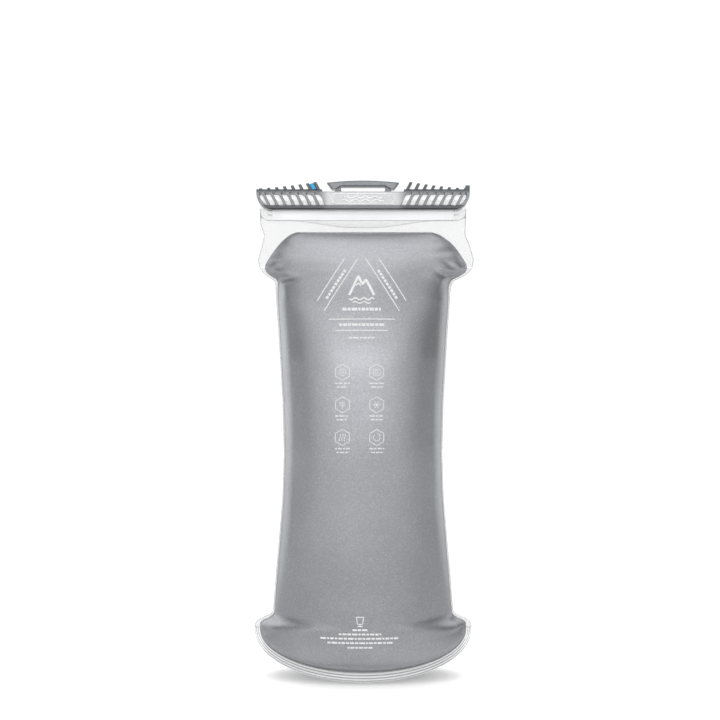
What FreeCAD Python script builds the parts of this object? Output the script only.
"""Insulated hydration bladder: a gusseted film bag with a slide closure on top and a hose socket on its back.

Millimetres. +Z is up, +X is to the viewer's right and the viewer stands at -Y. The origin is the middle of
the flat of the base. Front and rear films meet in the plane y = 0.
"""

import FreeCAD, Part
import math
import os

import Sketcher

PARTS_FOLDER = "parts"

# ---------------------------------------------------------------- driving dimensions

SIZES = {
    # laminate: clear outer film, foam, clear inner film
    "film": 0.4,
    "foam": 3.0,
    "glue_gap": 0.05,
    # weld planes of the base: the front and rear films meet the gusset along two sloping planes
    "ridge_height": 37.0,
    "ridge_run": 38.0,
    "rim_half_width": 84.0,
    "rim_reach": 53.0,
    # where the layers stop under the mouth
    "foam_top": 342.0,
    "liner_top": 345.0,
    "shoulder_top": 347.0,
    # folded mouth
    "mouth_half_width": 81.5,
    "fold_height": 372.6,
    "fold_offset": -1.1,
    "rail_radius": 2.2,
    "strip_half_width": 71.5,
    "strip_thick": 0.6,
    "strip_height": 12.5,
    "flap_bottom": 355.0,
    # slide closure
    "closure_length": 168.0,
    "closure_bottom": 363.2,
    "closure_half": 5.3,
    "rim_half": 6.4,
    "rim_height": 2.8,
    "channel_half": 3.5,
    "channel_bottom": 368.4,
    "channel_top": 376.4,
    "slot_half": 1.95,
    "spine_top": 379.4,
    "corner_radius": 13.0,
    "border": 2.4,
    "fin_pitch": 6.5,
    "fin_width": 2.5,
    "fin_lean": 5.2,
    "fin_half": 4.6,
    "window_bottom": 366.4,
    "fin_tip_inner": 385.2,
    "fin_tip_outer": 379.9,
    "panel_half": 29.5,
    "stop_thick": 2.0,
    "tab_width": 3.4,
    "tab_top": 382.3,
    # handle
    "post_place": 19.6,
    "post_width": 4.4,
    "post_half": 2.6,
    "grip_half_top": 28.7,
    "grip_half_low": 25.0,
    "grip_end_top": 384.8,
    "grip_end_low": 379.9,
    "grip_under": 381.7,
    "grip_arch": 243.0,
    "grip_half": 4.4,
    "grip_round": 1.0,
    "plug_half": 3.6,
    # hose socket, on the back
    "socket_height": 72.0,
    "socket_face": 44.4,
    "flange_radius": 20.0,
    "flange_thick": 7.0,
    "tube_radius": 9.0,
    "fit_gap": 0.1,
    "gasket_radius": 12.0,
    "gasket_thick": 0.6,
    "collar_radius": 15.5,
    "collar_end": 15.1,
    "tube_end": 11.4,
    "bore_radius": 6.0,
    "bore_floor": 3.0,
    "seat_radius": 4.2,
    "seat_face": 0.5,
    "seal_slack": 0.05,
    "chamber_radius": 6.6,
    "slot_low": 10.2,
    "slot_high": 13.2,
    "slot_wide": 8.8,
    "slot_floor": 11.2,
    "spring_well": 13.6,
    "well_half": 2.0,
    # check valve
    "head_radius": 5.9,
    "head_thick": 1.5,
    "seal_radius": 5.2,
    "seal_wire": 0.7,
    "nose_radius": 1.8,
    "nose_length": 3.7,
    "tail_radius": 1.4,
    "tail_length": 10.8,
    "coil_radius": 4.2,
    "coil_wire": 0.4,
    "coil_turns": 4.5,
    # ring nut that holds the socket in the flange and the valve spring in the socket
    "nut_radius": 12.5,
    "nut_floor": 1.5,
    "nut_height": 5.8,
    "port_radius": 1.75,
    "port_circle": 5.0,
    # hose latch
    "latch_slack": 0.15,
    "latch_half": 8.5,
    "latch_low": 9.3,
    "latch_window": 6.6,
    "latch_rise": 1.6,
    "button_half": 7.5,
    "button_under": 17.4,
    "button_top": 20.6,
    "button_low": 8.0,
    "button_round": 1.0,
    "latch_coil": 1.15,
    "latch_wire": 0.25,
    "latch_turns": 4.0,
}

# Outer surface of the filled bag: height, half width and half depth of each level ellipse.
STATIONS = [
    (0.0, 46.0, 22.0),
    (5.0, 59.0, 31.0),
    (16.0, 67.5, 36.5),
    (32.0, 70.5, 39.5),
    (56.0, 69.5, 42.0),
    (99.0, 66.0, 45.0),
    (174.0, 61.6, 47.0),
    (245.0, 64.8, 43.0),
    (290.0, 68.5, 33.0),
    (322.0, 75.0, 20.0),
    (347.0, 78.5, 4.5),
]

# Right half of the flat weld margin seen from the front, from the mouth down to the base: x and height.
MARGIN = [
    (81.5, 370.0),
    (81.0, 352.0),
    (79.6, 345.0),
    (84.6, 325.0),
    (84.2, 318.0),
    (77.0, 310.0),
    (71.5, 303.0),
    (69.8, 290.0),
    (66.2, 245.0),
    (63.0, 174.0),
    (67.3, 99.0),
    (70.8, 56.0),
    (74.0, 47.0),
    (84.0, 41.0),
    (84.0, 36.0),
]

doc = FreeCAD.newDocument("hydration_bladder")
sheet = doc.addObject("Spreadsheet::Sheet", "Sizes")


# ---------------------------------------------------------------- sizes with their expressions


class Size:
    """A length that carries its value and the spreadsheet expression that gives it."""

    def __init__(self, value, text):
        self.value = float(value)
        self.text = text

    def __add__(self, other):
        other = as_size(other)
        return Size(self.value + other.value, f"({self.text} + {other.text})")

    def __sub__(self, other):
        other = as_size(other)
        return Size(self.value - other.value, f"({self.text} - {other.text})")

    def __mul__(self, factor):
        factor = as_size(factor)
        return Size(self.value * factor.value, f"({self.text} * {factor.text})")

    def __truediv__(self, divisor):
        divisor = as_size(divisor)
        return Size(self.value / divisor.value, f"({self.text} / {divisor.text})")

    def __neg__(self):
        return Size(-self.value, f"(0 - {self.text})")


def as_size(number):
    return number if isinstance(number, Size) else Size(number, repr(float(number)))


def write_cell(row, alias, number):
    sheet.set(f"A{row}", alias)
    sheet.set(f"B{row}", str(number))
    sheet.setAlias(f"B{row}", alias)


def write_sheet():
    """Puts every driving dimension in the spreadsheet, one row each."""
    row = 1
    for alias, number in SIZES.items():
        write_cell(row, alias, number)
        row += 1
    for index, station in enumerate(STATIONS):
        for word, number in zip(("level", "width", "depth"), station):
            write_cell(row, f"station_{word}_{letter(index)}", number)
            row += 1
    for index, corner in enumerate(MARGIN):
        for word, number in zip(("across", "level"), corner):
            write_cell(row, f"margin_{word}_{letter(index)}", number)
            row += 1
    doc.recompute()


def letter(index):
    return "abcdefghijklmnopqrstuvwxyz"[index]


def size(alias):
    """The named driving dimension."""
    return Size(SIZES[alias], f"Sizes.{alias}")


def station(index):
    """The named cells of one station of the bag."""
    words = ("level", "width", "depth")
    texts = [f"Sizes.station_{word}_{letter(index)}" for word in words]
    return [Size(number, text) for number, text in zip(STATIONS[index], texts)]


def bind(thing, **properties):
    """Binds properties of a document object to sizes."""
    for name, amount in properties.items():
        thing.setExpression(name, as_size(amount).text)
    return thing


def place(thing, x=0.0, y=0.0, z=0.0, turn=None, about=(1, 0, 0)):
    """Puts an object at a place bound to the sheet, turned by a fixed or bound angle about an axis."""
    if turn is not None:
        thing.Placement = FreeCAD.Placement(
            FreeCAD.Vector(), FreeCAD.Rotation(FreeCAD.Vector(*about), as_size(turn).value)
        )
    for axis, amount in zip("xyz", (x, y, z)):
        thing.setExpression(f".Placement.Base.{axis}", as_size(amount).text)
    return thing


# ---------------------------------------------------------------- solids


def box(name, low, high):
    """A block between two corners given as sizes."""
    block = doc.addObject("Part::Box", name)
    low = [as_size(amount) for amount in low]
    high = [as_size(amount) for amount in high]
    bind(block, Length=high[0] - low[0], Width=high[1] - low[1], Height=high[2] - low[2])
    return place(block, *low)


def cylinder_along_x(name, radius, half_length, y, z):
    """A round bar along X, centred on x = 0."""
    bar = doc.addObject("Part::Cylinder", name)
    bind(bar, Radius=radius, Height=as_size(half_length) * 2)
    return place(bar, -as_size(half_length), y, z, turn=90, about=(0, 1, 0))


def cut(name, base, tool):
    result = doc.addObject("Part::Cut", name)
    result.Base, result.Tool = base, tool
    return result


def fuse(name, *shapes):
    result = doc.addObject("Part::MultiFuse", name)
    result.Shapes = list(shapes)
    return result


def common(name, *shapes):
    result = doc.addObject("Part::MultiCommon", name)
    result.Shapes = list(shapes)
    return result


def bulged_side(start, end, radius):
    """The arc of a circle from start to end, which bulges to the right of the way from start to end."""
    middle = (start + end) * 0.5
    chord = end - start
    right = FreeCAD.Vector(chord.y, -chord.x, 0).normalize()
    sagitta = radius - math.sqrt(radius**2 - (chord.Length / 2) ** 2)
    return Part.Arc(start, middle + right * sagitta, end)


def outline(sketch, corners):
    """Draws a closed outline in a sketch and binds it. A corner is (across, up), or (across, up, radius)
    where the side that starts there is an arc of that radius, which bulges to the right."""
    corners = [[as_size(amount) for amount in corner] for corner in corners]
    points = [FreeCAD.Vector(c[0].value, c[1].value, 0) for c in corners]
    sides = []
    for index, corner in enumerate(corners):
        start, end = points[index], points[(index + 1) % len(points)]
        if len(corner) == 3:
            arc = bulged_side(start, end, corner[2].value)
            drawn = sketch.addGeometry(arc, False)
            # a sketch keeps an arc's first end where its angle is lowest, going anticlockwise
            kept = sketch.Geometry[drawn].StartPoint
            ends = (1, 2) if (kept - start).Length < (kept - end).Length else (2, 1)
            turn = sketch.addConstraint(Sketcher.Constraint("Radius", drawn, corner[2].value))
            sketch.setExpression(f"Constraints[{turn}]", corner[2].text)
        else:
            drawn = sketch.addGeometry(Part.LineSegment(start, end), False)
            ends = (1, 2)
        sides.append((drawn, ends))
    for index, (drawn, ends) in enumerate(sides):
        after, after_ends = sides[(index + 1) % len(sides)]
        sketch.addConstraint(Sketcher.Constraint("Coincident", drawn, ends[1], after, after_ends[0]))
        for kind, amount in zip(("DistanceX", "DistanceY"), corners[index]):
            rule = sketch.addConstraint(Sketcher.Constraint(kind, drawn, ends[0], amount.value))
            sketch.setExpression(f"Constraints[{rule}]", amount.text)
    return sketch


def ring(sketch, radius, across=0.0, up=0.0):
    """Draws a bound circle in a sketch."""
    radius, across, up = as_size(radius), as_size(across), as_size(up)
    centre = FreeCAD.Vector(across.value, up.value, 0)
    drawn = sketch.addGeometry(Part.Circle(centre, FreeCAD.Vector(0, 0, 1), radius.value), False)
    for kind, ends, amount in (
        ("Radius", (), radius),
        ("DistanceX", (3,), across),
        ("DistanceY", (3,), up),
    ):
        rule = sketch.addConstraint(Sketcher.Constraint(kind, drawn, *ends, amount.value))
        sketch.setExpression(f"Constraints[{rule}]", amount.text)


def free_sketch(name, plane):
    """A sketch outside any body, in the front (XZ) or side (YZ) plane."""
    sketch = doc.addObject("Sketcher::SketchObject", name)
    if plane == "front":
        sketch.Placement.Rotation = FreeCAD.Rotation(FreeCAD.Vector(1, 0, 0), 90)
    else:
        sketch.Placement.Rotation = FreeCAD.Rotation(FreeCAD.Vector(1, 1, 1), 120)
    return sketch


def extrude(name, sketch, along, ahead, behind=0.0):
    """A solid drawn from a sketch: ahead is how far it goes along the direction, behind how far against."""
    solid = doc.addObject("Part::Extrusion", name)
    solid.Base = sketch
    solid.DirMode = "Custom"
    solid.Dir = FreeCAD.Vector(*along)
    solid.Solid = True
    bind(solid, LengthFwd=ahead, LengthRev=behind)
    return solid


# ---------------------------------------------------------------- PartDesign bodies


def body(name):
    return doc.addObject("PartDesign::Body", name)


def body_sketch(owner, name, role):
    """A sketch on one of a body's own origin planes."""
    planes = [plane for plane in owner.Origin.OriginFeatures if plane.Role == role]
    sketch = owner.newObject("Sketcher::SketchObject", name)
    sketch.AttachmentSupport = (planes[0], [""])
    sketch.MapMode = "FlatFace"
    return sketch


def revolve(owner, sketch):
    """Turns a half section about the upright axis of its sketch."""
    turned = owner.newObject("PartDesign::Revolution", sketch.Name + "_turned")
    turned.Profile = sketch
    turned.ReferenceAxis = (sketch, ["V_Axis"])
    turned.Angle = 360
    return turned


def pad(owner, sketch, length, both_ways=False):
    """Pads a sketch of a body."""
    feature = owner.newObject("PartDesign::Pad", sketch.Name + "_pad")
    feature.Profile = sketch
    feature.SideType = "Symmetric" if both_ways else "One side"
    return bind(feature, Length=length)


def pocket(owner, sketch, length, both_ways=False):
    """Cuts a sketch of a body out of it, and stops if that takes nothing away."""
    doc.recompute()
    before = owner.Shape.Volume
    feature = owner.newObject("PartDesign::Pocket", sketch.Name + "_cut")
    feature.Profile = sketch
    feature.SideType = "Symmetric" if both_ways else "One side"
    bind(feature, Length=length)
    doc.recompute()
    if owner.Shape.Volume > before - 1e-6:
        raise RuntimeError(f"{feature.Name} cuts nothing")
    return feature


def round_edges(owner, feature, radius, chosen):
    """Rounds the edges of a feature for which chosen(edge) is true."""
    doc.recompute()
    names = [f"Edge{n}" for n, edge in enumerate(feature.Shape.Edges, 1) if chosen(edge)]
    rounded = owner.newObject("PartDesign::Fillet", feature.Name + "_round")
    rounded.Base = (feature, names)
    return bind(rounded, Radius=radius)


def in_socket_frame(thing, along=0.0):
    """Stands a piece built about +Z on the socket's axis, so that its +Z points out of the bag's back."""
    turn = FreeCAD.Rotation(FreeCAD.Vector(1, 0, 0), -90)
    thing.Placement = FreeCAD.Placement(FreeCAD.Vector(), turn)
    bind(thing, **{".Placement.Base.z": size("socket_height")})
    return bind(thing, **{".Placement.Base.y": size("socket_face") + along})


# ---------------------------------------------------------------- bag


def bag_solid(name, inset):
    """The filled bag's outer shape, drawn in by an inset."""
    ellipses = []
    for index in range(len(STATIONS)):
        level, width, depth = station(index)
        if index == 0:
            level = level + inset
        if index == len(STATIONS) - 1:
            level = level - inset
        oval = doc.addObject("Part::Ellipse", f"{name}_{letter(index)}")
        bind(oval, MajorRadius=width - inset, MinorRadius=depth - inset)
        ellipses.append(place(oval, 0.0, 0.0, level))
    loft = doc.addObject("Part::Loft", name)
    loft.Sections = ellipses
    loft.Solid = True
    return loft


def half_space(name, rear):
    """Everything behind, or in front of, the plane where the films meet."""
    reach, top = 120.0, 420.0
    if rear:
        return box(name, (-reach, 0.0, -1.0), (reach, reach, top))
    return box(name, (-reach, -reach, -1.0), (reach, 0.0, top))


def gusset_space():
    """The roof-shaped space under the two weld planes, which the base gusset fills."""
    sketch = free_sketch("gusset_section", "side")
    steps = 2.5
    run, fall = size("ridge_run") * steps, size("ridge_height") * steps
    ridge = size("ridge_height")
    outline(sketch, [(0.0, ridge), (-run, ridge - fall), (run, ridge - fall)])
    return extrude("gusset_space", sketch, (1, 0, 0), 120.0, 120.0)


def rim_disc(name, rear, upper):
    """Half of the oval weld rim of the base, in its sloping plane. The upper one belongs to the front or
    rear film, and the lower one to the gusset."""
    tilt = math.degrees(math.atan2(SIZES["ridge_height"], SIZES["ridge_run"]))
    oval = doc.addObject("Part::Ellipse", f"{name}_oval")
    bind(oval, MajorRadius=size("rim_half_width"), MinorRadius=size("rim_reach"))
    place(oval, 0.0, 0.0, size("ridge_height"), turn=-tilt if rear else tilt)
    disc = doc.addObject("Part::Extrusion", f"{name}_disc")
    disc.Base = oval
    disc.DirMode = "Normal"
    disc.Solid = True
    disc.Reversed = not upper
    bind(disc, LengthFwd=size("film"))
    half = half_space(f"{name}_half", rear)
    floor = box(f"{name}_floor", (-120.0, -120.0, -20.0), (120.0, 120.0, 0.0))
    return cut(name, common(f"{name}_side", disc, half), floor)


def margin_sheet(name):
    """The flat weld margin round both films, with the mouth collar above the shoulders."""
    sketch = free_sketch(f"{name}_outline", "front")
    count = len(MARGIN)
    right = []
    for index in range(count):
        texts = [f"Sizes.margin_{word}_{letter(index)}" for word in ("across", "level")]
        right.append([Size(number, text) for number, text in zip(MARGIN[index], texts)])
    left = [(-across, level) for across, level in reversed(right)]
    outline(sketch, right + left)
    return extrude(name, sketch, (0, 1, 0), size("film"), size("film"))


def fold_film(name, rear):
    """One film's way round the rail in the mouth's fold, from the bag's side over the top to the flap."""
    film, gap = size("film"), size("glue_gap")
    centre_y, centre_z = size("fold_offset"), size("fold_height")
    inner = size("rail_radius") + gap + (film + gap if rear else 0.0)
    outer = inner + film
    across = size("mouth_half_width")
    tube = cut(
        f"{name}_tube",
        cylinder_along_x(f"{name}_outer", outer, across, centre_y, centre_z),
        cylinder_along_x(f"{name}_inner", inner, across + 1.0, centre_y, centre_z),
    )
    # the flap hangs in front of the bag: inner strip, front film, rear film, outer strip
    flap_back = -film - gap - size("strip_thick") - gap
    if rear:
        flap_back = flap_back - film - gap
    flap_front = flap_back - film
    bag_low = 0.0 if rear else -film
    bag_high = film if rear else 0.0
    opening = box(
        f"{name}_opening",
        (-across - 1.0, flap_back, centre_z - outer - 1.0),
        (across + 1.0, bag_low, centre_z - inner * 0.5),
    )
    bag_leg = box(
        f"{name}_bag_leg",
        (-across, bag_low, size("shoulder_top") - 0.3),
        (across, bag_high, centre_z - inner + 0.6),
    )
    flap_leg = box(
        f"{name}_flap_leg",
        (-across, flap_front, size("flap_bottom")),
        (across, flap_back, centre_z - inner + 0.6),
    )
    legs = cut(
        f"{name}_legs",
        fuse(f"{name}_both_legs", bag_leg, flap_leg),
        cylinder_along_x(f"{name}_bore", inner, across + 1.0, centre_y, centre_z),
    )
    return fuse(name, cut(f"{name}_open_tube", tube, opening), legs)


def socket_hole(name):
    """The round hole in the back's layers that the socket's flange fills."""
    hole = doc.addObject("Part::Cylinder", name)
    bind(hole, Radius=size("flange_radius") + size("glue_gap"), Height=40.0)
    return in_socket_frame(hole, -20.0)


def film_shell(outer, inside, roof):
    """The outer film of front and back together, with its weld margin, cut off at the base gusset."""
    wall = fuse("film_with_margin", outer, margin_sheet("weld_margin"))
    return cut("film_above_base", cut("film_wall", wall, inside), roof)


def skin(name, rear, shell, inside):
    """The clear outer film of the front or the back, with its weld margins and its part of the mouth."""
    half = common(f"{name}_half", shell, half_space(f"{name}_space", rear))
    rim = cut(f"{name}_rim", rim_disc(f"{name}_rim_disc", rear, True), inside)
    whole = fuse(f"{name}_whole", half, rim, fold_film(f"{name}_fold", rear))
    return cut(name, whole, socket_hole(f"{name}_hole")) if rear else whole


def layer(name, rear, outer, inner, roof, top):
    """The foam or the inner film of the front or the back, open at the mouth."""
    wall = cut(f"{name}_wall", outer, inner)
    half = common(f"{name}_half", wall, half_space(f"{name}_space", rear))
    above = cut(f"{name}_above_base", half, roof)
    lid = box(f"{name}_lid", (-120.0, -120.0, top), (120.0, 120.0, 420.0))
    opened = cut(f"{name}_opened", above, lid)
    return cut(name, opened, socket_hole(f"{name}_hole")) if rear else opened


def build_bag():
    """The three layers of the front, the back and the base gusset."""
    film, foam, gap = size("film"), size("foam"), size("glue_gap")
    foam_out = film + gap
    foam_in = foam_out + foam
    liner_out = foam_in + gap
    roof = gusset_space()
    shapes = {
        word: bag_solid(f"bag_{word}", inset)
        for word, inset in (
            ("outside", as_size(0.0)),
            ("skin_inside", film),
            ("foam_outside", foam_out),
            ("foam_inside", foam_in),
            ("liner_outside", liner_out),
            ("liner_inside", liner_out + film),
        )
    }
    nodes = {}
    shell = film_shell(shapes["outside"], shapes["skin_inside"], roof)
    for side, rear in (("front", False), ("rear", True)):
        nodes[f"{side}_skin"] = skin(f"{side}_skin_shape", rear, shell, shapes["skin_inside"])
        nodes[f"{side}_insulation"] = layer(
            f"{side}_foam", rear, shapes["foam_outside"], shapes["foam_inside"], roof, size("foam_top")
        )
        nodes[f"{side}_liner"] = layer(
            f"{side}_lining", rear, shapes["liner_outside"], shapes["liner_inside"], roof, size("liner_top")
        )
    base_wall = common("base_wall", cut("base_shell", shapes["outside"], shapes["skin_inside"]), roof)
    rims = [
        cut(f"base_{side}_rim", rim_disc(f"base_{side}_disc", rear, False), shapes["skin_inside"])
        for side, rear in (("front", False), ("rear", True))
    ]
    nodes["base_skin"] = fuse("base_skin_shape", base_wall, *rims)
    for word, outer, inner in (
        ("insulation", "foam_outside", "foam_inside"),
        ("liner", "liner_outside", "liner_inside"),
    ):
        shell = cut(f"base_{word}_shell", shapes[outer], shapes[inner])
        nodes[f"base_{word}"] = common(f"base_{word}_shape", shell, roof)
    return nodes


# ---------------------------------------------------------------- folded mouth


def build_mouth():
    """The rail in the fold and the two stiff strips on the flap that hangs in front."""
    film, gap, strip = size("film"), size("glue_gap"), size("strip_thick")
    across = size("strip_half_width")
    low = size("flap_bottom") + 0.4
    high = low + size("strip_height")
    inner_front = -film - gap - strip
    inner_strip = box("inner_strip", (-across, inner_front, low), (across, inner_front + strip, high))
    outer_back = inner_front - gap - film - gap - film - gap
    outer_strip = box("outer_strip", (-across, outer_back - strip, low), (across, outer_back, high))
    rail = cylinder_along_x(
        "rail", size("rail_radius"), size("mouth_half_width"), size("fold_offset"), size("fold_height")
    )
    return {"fold_rail": rail, "inner_mouth_strip": inner_strip, "outer_mouth_strip": outer_strip}


# ---------------------------------------------------------------- slide closure


def corner_tool(name, side, radius, edge, bottom):
    """What a rounded lower corner takes off: a square with a quarter circle left in it."""
    radius, edge, bottom = as_size(radius), as_size(edge), as_size(bottom)
    inward = edge - radius
    low_x, high_x = (-edge - 1.0, -inward) if side < 0 else (inward, edge + 1.0)
    square = box(f"{name}_square", (low_x, -12.0, bottom - 1.0), (high_x, 12.0, bottom + radius))
    round_bar = doc.addObject("Part::Cylinder", f"{name}_round")
    bind(round_bar, Radius=radius, Height=30.0)
    centre_x = inward if side > 0 else -inward
    place(round_bar, centre_x, 15.0, bottom + radius, turn=90, about=(1, 0, 0))
    return cut(name, square, round_bar)


def closure_profile():
    """The channel of the closure, drawn from its end and run the closure's whole length."""
    middle = size("fold_offset")
    half, rim = size("closure_half"), size("rim_half")
    channel, slot = size("channel_half"), size("slot_half")
    bottom, top = size("closure_bottom"), size("spine_top")
    rim_top = bottom + size("rim_height")
    low, high = size("channel_bottom"), size("channel_top")
    right = [
        (slot + 0.8, bottom),
        (rim - 0.9, bottom),
        (rim, bottom + 0.9),
        (rim, rim_top),
        (half, rim_top + 0.6),
        (half, top - 1.0),
        (half - 1.0, top),
    ]
    inside = [
        (channel - 1.0, high),
        (channel, high - 1.0),
        (channel, low + 0.7),
        (channel - 0.7, low),
        (slot, low),
        (slot, bottom + 0.8),
    ]
    across_right = [(middle + across, up) for across, up in right]
    across_left = [(middle - across, up) for across, up in reversed(right)]
    inner_left = [(middle - across, up) for across, up in reversed(inside)]
    inner_right = [(middle + across, up) for across, up in inside]
    sketch = free_sketch("closure_section", "side")
    outline(sketch, across_right + across_left + inner_left + inner_right)
    half_length = size("closure_length") / 2
    return extrude("closure_channel", sketch, (1, 0, 0), half_length, half_length)


def fin_foot(step, mirror):
    """Where the foot of a fin's outer side is, step pitches out from the panel's side."""
    across = size("panel_half") + size("fin_pitch") * step
    return across * (-1.0 if mirror else 1.0)


def slanted(sketch, near, far, low, high_near, high_far, bottom, mirror):
    """A leaning four-sided outline from low up to two heights. near and far are where its sides would
    meet the window's bottom, and the sides lean outward as they rise."""
    slope = size("fin_lean") / (size("channel_top") - size("window_bottom"))
    sign = -1.0 if mirror else 1.0

    def at(foot, level):
        return (foot + slope * (level - bottom) * sign, level)

    outline(sketch, [at(near, low), at(far, low), at(far, high_far), at(near, high_near)])


def closure_windows():
    """The leaning windows between the fins of both combs, kept clear of the closure's rounded border."""
    sketch = free_sketch("window_outlines", "front")
    bottom, top = size("window_bottom"), size("channel_top") + 0.2
    gap = size("fin_pitch") - size("fin_width")
    for mirror in (False, True):
        sign = -1.0 if mirror else 1.0
        for step in range(8):
            near = fin_foot(step, mirror)
            slanted(sketch, near, near + gap * sign, bottom, top, top, bottom, mirror)
    prisms = extrude("window_prisms", sketch, (0, 1, 0), 12.0, 12.0)
    edge = size("closure_length") / 2 - size("border")
    low = size("window_bottom")
    inset = box("window_inset", (-edge, -12.0, low), (edge, 12.0, top))
    radius = size("corner_radius") - size("border")
    corners = fuse(
        "window_corners",
        corner_tool("window_corner_left", -1, radius, edge, low - 0.6),
        corner_tool("window_corner_right", 1, radius, edge, low - 0.6),
    )
    return common("windows", prisms, cut("window_area", inset, corners))


def closure_combs():
    """The fins that stand above the spine, tallest beside the handle."""
    sketch = free_sketch("fin_outlines", "front")
    bottom = size("window_bottom")
    low = size("spine_top") - 0.6
    last = 8.0
    tall, short = size("fin_tip_inner"), size("fin_tip_outer")
    width = size("fin_width")
    for mirror in (False, True):
        sign = -1.0 if mirror else 1.0
        for step in range(8):
            # the tips follow a line that falls quickly near the handle and levels off at the end
            share = (1.0 - step / last) ** 1.5
            lower_share = (1.0 - (step + 0.4) / last) ** 1.5
            foot = fin_foot(step, mirror)
            high_far = short + (tall - short) * lower_share
            high_near = short + (tall - short) * share
            slanted(sketch, foot - width * sign, foot, low, high_near, high_far, bottom, mirror)
    half = size("fin_half")
    middle = size("fold_offset")
    return extrude("combs", sketch, (0, 1, 0), half + middle, half - middle)


def closure_end():
    """The stop that shuts the channel at the right end, and the thumb tab above it."""
    edge = size("closure_length") / 2
    half, middle = size("closure_half"), size("fold_offset")
    stop = box(
        "end_stop",
        (edge - size("stop_thick"), middle - half + 0.2, size("channel_bottom") - 0.2),
        (edge, middle + half - 0.2, size("channel_top") + 1.0),
    )
    tab = box(
        "thumb_tab",
        (edge - size("tab_width"), middle - half, size("spine_top") - 1.6),
        (edge, middle + half, size("tab_top")),
    )
    return fuse("closure_end", stop, tab)


def handle_posts():
    """The two posts that carry the grip."""
    half, middle = size("post_half"), size("fold_offset")
    posts = []
    for word, sign in (("left", -1.0), ("right", 1.0)):
        sketch = free_sketch(f"{word}_post_outline", "front")
        centre = size("post_place") * sign
        wide = size("post_width") / 2
        low, high = size("spine_top") - 2.6, size("grip_under") + 1.4
        outline(
            sketch,
            [
                (centre - wide * 1.35, low),
                (centre + wide * 1.35, low),
                (centre + wide, low + 3.0),
                (centre + wide, high),
                (centre - wide, high),
                (centre - wide, low + 3.0),
            ],
        )
        posts.append(extrude(f"{word}_post", sketch, (0, 1, 0), half + middle, half - middle))
    return posts


def build_closure():
    """The moulded closure, its soft grip and its coloured plug."""
    edge, bottom = size("closure_length") / 2, size("closure_bottom")
    radius = size("corner_radius")
    corners = [
        corner_tool("left_corner", -1, radius, edge, bottom),
        corner_tool("right_corner", 1, radius, edge, bottom),
    ]
    # between the combs the top is a step lower, so that the grip stands clear of it
    lean = size("fin_lean") * 1.1
    dip = box(
        "panel_dip",
        (-size("panel_half") - lean + 3.0, -14.0, size("spine_top") - 2.0),
        (size("panel_half") + lean - 3.0, 14.0, size("spine_top") + 5.0),
    )
    tools = fuse("closure_cuts", closure_windows(), dip, *corners)
    trimmed = cut("closure_trimmed", closure_profile(), tools)
    end = cut(
        "closure_end_rounded", closure_end(), corner_tool("end_corner", 1, radius, edge, bottom)
    )
    closure = fuse("closure_shape", trimmed, closure_combs(), end, *handle_posts())
    return {"slide_closure": closure, "handle_grip": build_grip(), "marker_plug": build_plug()}


def build_grip():
    """The arched soft grip, moulded round the tops of the posts."""
    grip = body("grip_body")
    sketch = body_sketch(grip, "grip_outline", "XZ_Plane")
    top, low = size("grip_half_top"), size("grip_half_low")
    end_top, end_low = size("grip_end_top"), size("grip_end_low")
    arch, under = size("grip_arch"), size("grip_under")
    inner = size("post_place") - 1.0
    outline(
        sketch,
        [
            (top, end_top, arch),
            (-top, end_top),
            (-low, end_low),
            (-inner - 3.4, end_low),
            (-inner, under),
            (inner, under),
            (inner + 3.4, end_low),
            (low, end_low),
        ],
    )
    block = pad(grip, sketch, size("grip_half") * 2, both_ways=True)
    long_edge = 4.0
    round_edges(
        grip,
        block,
        size("grip_round"),
        lambda edge: edge.Length > long_edge and abs(edge.Vertexes[0].Y - edge.Vertexes[1].Y) < 0.01,
    )
    bind(grip, **{".Placement.Base.y": size("fold_offset")})
    posts = fuse("grip_posts", *handle_posts_copy())
    return cut("grip_shape", grip, posts)


def handle_posts_copy():
    """The posts again, as the tool that opens the grip for them."""
    return [doc.getObject(f"{word}_post") for word in ("left", "right")]


def build_plug():
    """The coloured plug pressed between the two fins beside the handle."""
    plug = body("plug_body")
    sketch = body_sketch(plug, "plug_outline", "XZ_Plane")
    bottom = size("window_bottom")
    low, high = size("spine_top") + 0.05, size("spine_top") + 5.2
    gap = size("fin_pitch") - size("fin_width")
    near = fin_foot(0, True) - 0.05
    slanted(sketch, near, near - gap + 0.1, low, high, high - 0.9, bottom, True)
    block = pad(plug, sketch, size("plug_half") * 2, both_ways=True)
    round_edges(plug, block, size("grip_round") * 0.6, lambda edge: edge.Length > 4.0)
    bind(plug, **{".Placement.Base.y": size("fold_offset")})
    return plug


# ---------------------------------------------------------------- hose socket and valve


def turned_piece(name, corners):
    """A round piece from its half section, given as (radius, place along the socket's axis)."""
    piece = body(name)
    sketch = body_sketch(piece, f"{name}_section", "XZ_Plane")
    outline(sketch, corners)
    revolve(piece, sketch)
    return piece


def build_flange():
    """The soft flange that is welded into the back of the bag."""
    hole = size("tube_radius") + size("fit_gap")
    outer, thick = size("flange_radius"), size("flange_thick")
    flange = turned_piece(
        "flange_body",
        [
            (hole, -thick),
            (outer - 2.0, -thick),
            (outer, -thick + 1.5),
            (outer, -1.2),
            (outer - 1.6, -0.4),
            (size("collar_radius") + 1.2, 0.0),
            (hole, 0.0),
        ],
    )
    return in_socket_frame(flange)


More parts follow.
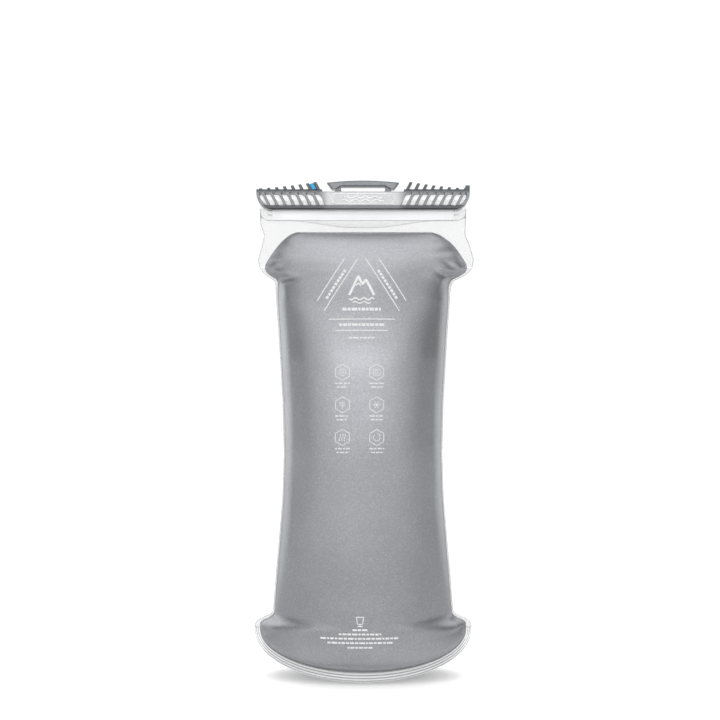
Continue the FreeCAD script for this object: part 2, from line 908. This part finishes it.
def build_gasket():
    """The flat ring between the flange and the socket's collar."""
    inner = size("tube_radius") + size("fit_gap")
    ring_piece = doc.addObject("Part::Cut", "gasket_shape")
    disc = doc.addObject("Part::Cylinder", "gasket_disc")
    hole = doc.addObject("Part::Cylinder", "gasket_hole")
    bind(disc, Radius=size("gasket_radius"), Height=size("gasket_thick"))
    bind(hole, Radius=inner, Height=size("gasket_thick"))
    ring_piece.Base, ring_piece.Tool = in_socket_frame(disc), in_socket_frame(hole)
    return ring_piece


def build_housing():
    """The rigid socket: a collar outside the bag, a tube through it, the valve seat and the latch slot."""
    collar, tube = size("collar_radius"), size("tube_radius")
    start, end, inner_end = size("gasket_thick"), size("collar_end"), -size("tube_end")
    housing = turned_piece(
        "housing_body",
        [
            (size("bore_radius"), size("bore_floor")),
            (size("bore_radius"), end - 0.6),
            (size("bore_radius") + 0.6, end),
            (collar - 1.5, end),
            (collar, end - 1.5),
            (collar, start + 1.0),
            (collar - 1.0, start),
            (tube, start),
            (tube, inner_end),
            (size("chamber_radius"), inner_end),
            (size("chamber_radius"), size("seat_face")),
            (size("seat_radius"), size("seat_face")),
            (size("seat_radius"), size("bore_floor")),
        ],
    )
    # the body's -Y is up once it stands in the bag
    slot = body_sketch(housing, "latch_slot", "XZ_Plane")
    wide, low, high = size("slot_wide"), size("slot_low"), size("slot_high")
    outline(slot, [(-wide, low), (wide, low), (wide, high), (-wide, high)])
    two_way(housing, slot, size("collar_radius") + 2.0, size("slot_floor"))
    well = body_sketch(housing, "spring_well", "XZ_Plane")
    wide = size("well_half")
    outline(well, [(-wide, low), (wide, low), (wide, high), (-wide, high)])
    two_way(housing, well, size("bore_radius"), size("spring_well"))
    return in_socket_frame(housing)


def two_way(owner, sketch, up, down):
    """Cuts a sketch in the socket's upright plane: up towards the button, down towards the spring."""
    doc.recompute()
    before = owner.Shape.Volume
    feature = owner.newObject("PartDesign::Pocket", sketch.Name + "_cut")
    feature.Profile = sketch
    feature.SideType = "Two sides"
    bind(feature, Length=down, Length2=up)
    doc.recompute()
    if owner.Shape.Volume > before - 1e-6:
        raise RuntimeError(f"{feature.Name} cuts nothing")


def build_poppet():
    """The check valve's sliding piece: a head with a nose for the hose plug and a tail as its guide."""
    seal_gap = size("seat_face") - size("seal_slack") - size("seal_wire") * 2
    back = seal_gap - size("head_thick")
    poppet = turned_piece(
        "poppet_body",
        [
            (0.0, back - size("tail_length")),
            (size("tail_radius"), back - size("tail_length")),
            (size("tail_radius"), back),
            (size("head_radius"), back),
            (size("head_radius"), seal_gap),
            (size("nose_radius"), seal_gap),
            (size("nose_radius"), seal_gap + size("nose_length") - 0.5),
            (size("nose_radius") - 0.5, seal_gap + size("nose_length")),
            (0.0, seal_gap + size("nose_length")),
        ],
    )
    seal = doc.addObject("Part::Torus", "seal_ring")
    bind(seal, Radius1=size("seal_radius"), Radius2=size("seal_wire"))
    in_socket_frame(seal, size("seat_face") - size("seal_slack") - size("seal_wire"))
    return {"valve_poppet": in_socket_frame(poppet), "poppet_seal": seal}


def build_nut():
    """The ring nut on the socket's inner end, with a hub for the valve's tail and holes for the water."""
    top = -size("tube_end") + size("nut_height") - 1.5
    floor = -size("tube_end") - 0.1
    low = floor - size("nut_floor")
    nut = turned_piece(
        "nut_body",
        [
            (size("tail_radius") + 0.06, low),
            (size("nut_radius") - 0.8, low),
            (size("nut_radius"), low + 0.8),
            (size("nut_radius"), top),
            (size("tube_radius") + 0.05, top),
            (size("tube_radius") + 0.05, floor),
            (size("tail_radius") + 0.06, floor),
        ],
    )
    ports = body_sketch(nut, "flow_ports", "XY_Plane")
    count = 6
    for index in range(count):
        angle = 2 * math.pi * index / count
        circle = size("port_circle")
        ring(ports, size("port_radius"), circle * math.cos(angle), circle * math.sin(angle))
    pocket(nut, ports, 60.0, both_ways=True)
    return in_socket_frame(nut)


def coil(name, radius, wire, length, turns):
    """A helical spring along +Z from z = 0, with its wire inside the given length."""
    path = doc.addObject("Part::Helix", f"{name}_path")
    height = length - wire * 2
    bind(path, Radius=radius, Height=height, Pitch=height / turns)
    section = doc.addObject("Part::Circle", f"{name}_wire")
    bind(section, Radius=wire)
    place(section, radius, 0.0, 0.0, turn=90, about=(1, 0, 0))
    spring = doc.addObject("Part::Sweep", name)
    spring.Sections = [section]
    spring.Spine = (path, ["Edge1"])
    spring.Solid = True
    spring.Frenet = True
    return spring


def build_springs():
    """The valve's spring and the latch's spring."""
    slack = 0.05
    floor = -size("tube_end") - 0.1
    back = size("seat_face") - size("seal_slack") - size("seal_wire") * 2 - size("head_thick")
    length = back - floor - slack * 2
    valve = coil("valve_coil", size("coil_radius"), size("coil_wire"), length, size("coil_turns"))
    in_socket_frame(valve, floor + slack + size("coil_wire"))
    low = size("latch_low")
    length = size("spring_well") - low - slack * 2
    latch = coil(
        "latch_coil_shape", size("latch_coil"), size("latch_wire"), length, size("latch_turns")
    )
    middle = (size("slot_low") + size("slot_high")) / 2
    place(
        latch,
        0.0,
        size("socket_face") + middle,
        size("socket_height") - size("spring_well") + slack + size("latch_wire"),
    )
    return {"poppet_spring": valve, "latch_spring": latch}


def build_latch():
    """The hose latch: a sliding plate with an eccentric window, and the button on top of it."""
    latch = body("latch_body")
    plate = body_sketch(latch, "latch_plate", "XY_Plane")
    half, low = size("latch_half"), size("latch_low")
    neck = size("button_half") - 2.5
    shoulder = size("latch_window") + 3.4
    outline(
        plate,
        [
            (half, low),
            (half, -shoulder),
            (neck, -shoulder - 2.0),
            (neck, -size("button_under") - 0.5),
            (-neck, -size("button_under") - 0.5),
            (-neck, -shoulder - 2.0),
            (-half, -shoulder),
            (-half, low),
        ],
    )
    ring(plate, size("latch_window"), 0.0, -size("latch_rise"))
    start = size("slot_low") + size("latch_slack")
    thick = size("slot_high") - size("slot_low") - size("latch_slack") * 2
    bind(plate, **{".AttachmentOffset.Base.z": start})
    pad(latch, plate, thick)
    button = body_sketch(latch, "button_outline", "XY_Plane")
    wide = size("button_half")
    under, top = -size("button_under"), -size("button_top")
    outline(button, [(wide, under), (wide, top), (-wide, top), (-wide, under)])
    bind(button, **{".AttachmentOffset.Base.z": size("button_low")})
    block = pad(latch, button, size("collar_end") - size("button_low") - 0.3)
    button_top = -SIZES["button_top"]
    round_edges(
        latch,
        block,
        size("button_round"),
        lambda edge: all(abs(v.Y - button_top) < 0.01 for v in edge.Vertexes),
    )
    return in_socket_frame(latch)


def build_port():
    """Everything on the hose socket's axis."""
    nodes = {
        "port_flange": build_flange(),
        "port_gasket": build_gasket(),
        "socket_housing": build_housing(),
        "retaining_nut": build_nut(),
        "release_latch": build_latch(),
    }
    nodes.update(build_poppet())
    nodes.update(build_springs())
    return nodes


# ---------------------------------------------------------------- checks and files


def check_document():
    """Stops if any object of the document failed."""
    failed = [
        thing.Name
        for thing in doc.Objects
        if any(word in ("Invalid", "Error") for word in thing.State)
    ]
    if failed:
        raise RuntimeError(f"failed objects: {failed}")


def export(nodes):
    """Checks every sub-part and writes it to its own STEP file."""
    for name, thing in nodes.items():
        thing.Label = name
        shape = thing.Shape
        if shape.isNull() or not shape.isValid() or not shape.Solids:
            raise RuntimeError(f"{name} has no valid solid")
    os.makedirs(PARTS_FOLDER, exist_ok=True)
    for old in os.listdir(PARTS_FOLDER):
        if old.endswith(".step"):
            os.remove(os.path.join(PARTS_FOLDER, old))
    for name, thing in sorted(nodes.items()):
        shape = thing.Shape
        shape.exportStep(os.path.join(PARTS_FOLDER, f"{name}.step"))
        bounds = shape.BoundBox
        print(
            f"{name:20s} solids {len(shape.Solids)} volume {shape.Volume:10.1f} mm3"
            f"  x {bounds.XMin:7.1f} {bounds.XMax:7.1f}  y {bounds.YMin:6.1f} {bounds.YMax:6.1f}"
            f"  z {bounds.ZMin:6.1f} {bounds.ZMax:6.1f}"
        )


def main():
    write_sheet()
    nodes = {}
    nodes.update(build_bag())
    nodes.update(build_mouth())
    nodes.update(build_closure())
    nodes.update(build_port())
    doc.recompute()
    check_document()
    export(nodes)


main()
